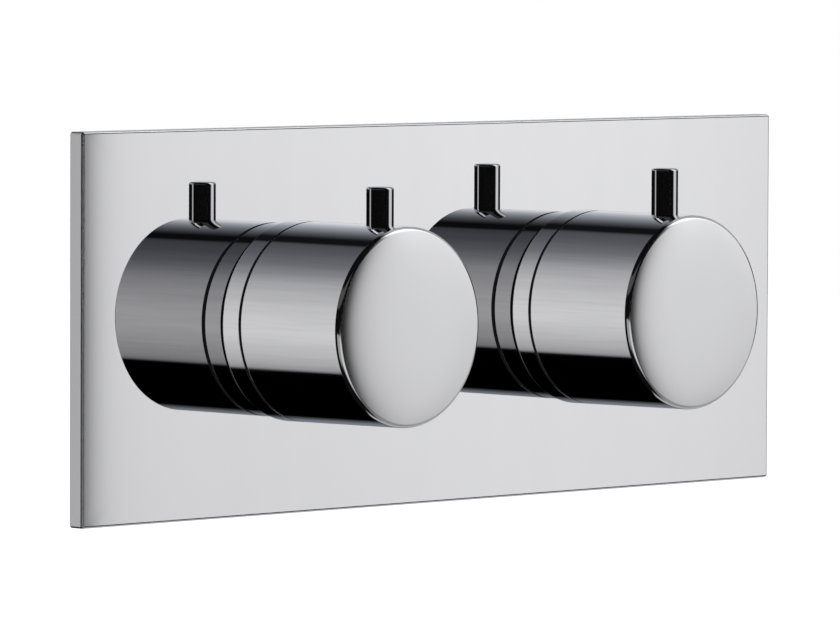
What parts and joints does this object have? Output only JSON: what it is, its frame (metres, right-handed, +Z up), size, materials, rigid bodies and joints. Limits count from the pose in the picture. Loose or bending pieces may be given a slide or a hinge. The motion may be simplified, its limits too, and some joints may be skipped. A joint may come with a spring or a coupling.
{
  "type": "concealed thermostatic shower valve",
  "caption": "Built-in thermostatic shower valve: a flat wall plate with concentric turning handles and knobs over a cast body with threaded pipe ports.",
  "frame": {"origin": "centre of the wall plate's rear rim, in the plane of the finished wall", "axes": "+X along the plate to the user's right, +Z up, -Y out of the wall towards the user"},
  "size_m": [0.257, 0.128, 0.1],
  "materials": {
    "chrome_plate": "polished",
    "chrome_handle": "polished",
    "cast_brass": "satin",
    "turned_brass": "satin",
    "nickel_sleeve": "satin",
    "disc_ceramic": "polished",
    "white_plastic": "satin",
    "black_plastic": "matte",
    "grey_plastic": "matte",
    "seal_rubber": "matte",
    "gasket_foam": "matte",
    "spring_steel": "satin",
    "zinc_steel": "satin",
    "black_steel": "satin",
    "capsule_copper": "satin"
  },
  "bodies": {
    "fixed": {"barrel_nuts": "nickel_sleeve", "body_screws": "zinc_steel", "cartridge_base_seals": "seal_rubber", "channel_plugs": "turned_brass", "check_valve_cages": "white_plastic", "cold_check_spring": "spring_steel", "guide_rings": "white_plastic", "hot_check_spring": "spring_steel", "inlet_strainers": "black_plastic", "left_cartridge_base": "black_plastic", "left_cartridge_housing": "turned_brass", "left_fixed_disc": "disc_ceramic", "mixing_sleeve": "turned_brass", "mixing_sleeve_seals": "seal_rubber", "mounting_plate": "zinc_steel", "plate_grommets": "seal_rubber", "return_spring": "spring_steel", "right_cartridge_base": "black_plastic", "right_cartridge_housing": "turned_brass", "right_fixed_disc": "disc_ceramic", "stem_seals": "seal_rubber", "valve_body": "cast_brass", "wall_gasket": "gasket_foam", "wall_plate": "chrome_plate"},
    "left_flow": {"left_rear_handle": "chrome_handle", "left_rear_pin": "chrome_handle", "left_rear_hub": "turned_brass", "left_rear_grub_screw": "black_steel", "left_flow_drum": "turned_brass", "left_flow_disc": "disc_ceramic"},
    "left_temperature": {"left_front_knob": "chrome_handle", "left_front_pin": "chrome_handle", "left_knob_hub": "turned_brass", "left_front_grub_screw": "black_steel", "temperature_spindle": "turned_brass", "left_spindle_seal": "seal_rubber"},
    "setting": {"setting_nut": "turned_brass", "overload_plunger": "turned_brass", "overload_spring": "spring_steel", "thermostat_piston": "spring_steel"},
    "thermostat": {"mixing_shuttle": "grey_plastic", "thermostat_element": "capsule_copper"},
    "right_outer": {"right_rear_handle": "chrome_handle", "right_rear_pin": "chrome_handle", "right_rear_hub": "turned_brass", "right_rear_grub_screw": "black_steel", "right_flow_drum": "turned_brass", "right_outer_disc": "disc_ceramic"},
    "right_inner": {"right_front_knob": "chrome_handle", "right_front_pin": "chrome_handle", "right_knob_hub": "turned_brass", "right_front_grub_screw": "black_steel", "right_spindle": "turned_brass", "right_spindle_seal": "seal_rubber", "right_inner_disc": "disc_ceramic"},
    "hot_check": {"hot_check_poppet": "grey_plastic"},
    "cold_check": {"cold_check_poppet": "grey_plastic"}
  },
  "joints": [
    {"name": "left_flow_turn", "type": "hinge", "parent": "fixed", "child": "left_flow", "pos_m": [-0.094, 0, 0.003], "axis": [0, -1, 0], "range_deg": [0, 90]},
    {"name": "temperature_turn", "type": "hinge", "parent": "fixed", "child": "left_temperature", "pos_m": [-0.094, 0, 0.003], "axis": [0, -1, 0], "range_deg": [-150, 60]},
    {"name": "setting_travel", "type": "slide", "parent": "fixed", "child": "setting", "axis": [0, -1, 0], "range_m": [-0.00167, 0.00067]},
    {"name": "thermostat_travel", "type": "slide", "parent": "setting", "child": "thermostat", "axis": [0, -1, 0], "range_m": [-0.0008, 0.0008], "stiffness_N_per_m": 1500, "deforming": ["return_spring"]},
    {"name": "right_outer_turn", "type": "hinge", "parent": "fixed", "child": "right_outer", "pos_m": [0.0096, 0, 0.003], "axis": [0, -1, 0], "range_deg": [0, 90]},
    {"name": "right_inner_turn", "type": "hinge", "parent": "fixed", "child": "right_inner", "pos_m": [0.0096, 0, 0.003], "axis": [0, -1, 0], "range_deg": [0, 90]},
    {"name": "hot_check_lift", "type": "slide", "parent": "fixed", "child": "hot_check", "axis": [0, 0, 1], "range_m": [0, 0.003], "stiffness_N_per_m": 60, "springref_m": -0.002, "deforming": ["hot_check_spring"]},
    {"name": "cold_check_lift", "type": "slide", "parent": "fixed", "child": "cold_check", "axis": [0, 0, 1], "range_m": [0, 0.003], "stiffness_N_per_m": 60, "springref_m": -0.002, "deforming": ["cold_check_spring"]}
  ],
  "couplings": [
    {"joint": "setting_travel", "follows": "temperature_turn", "m_per_rad": 0.00063662}
  ]
}
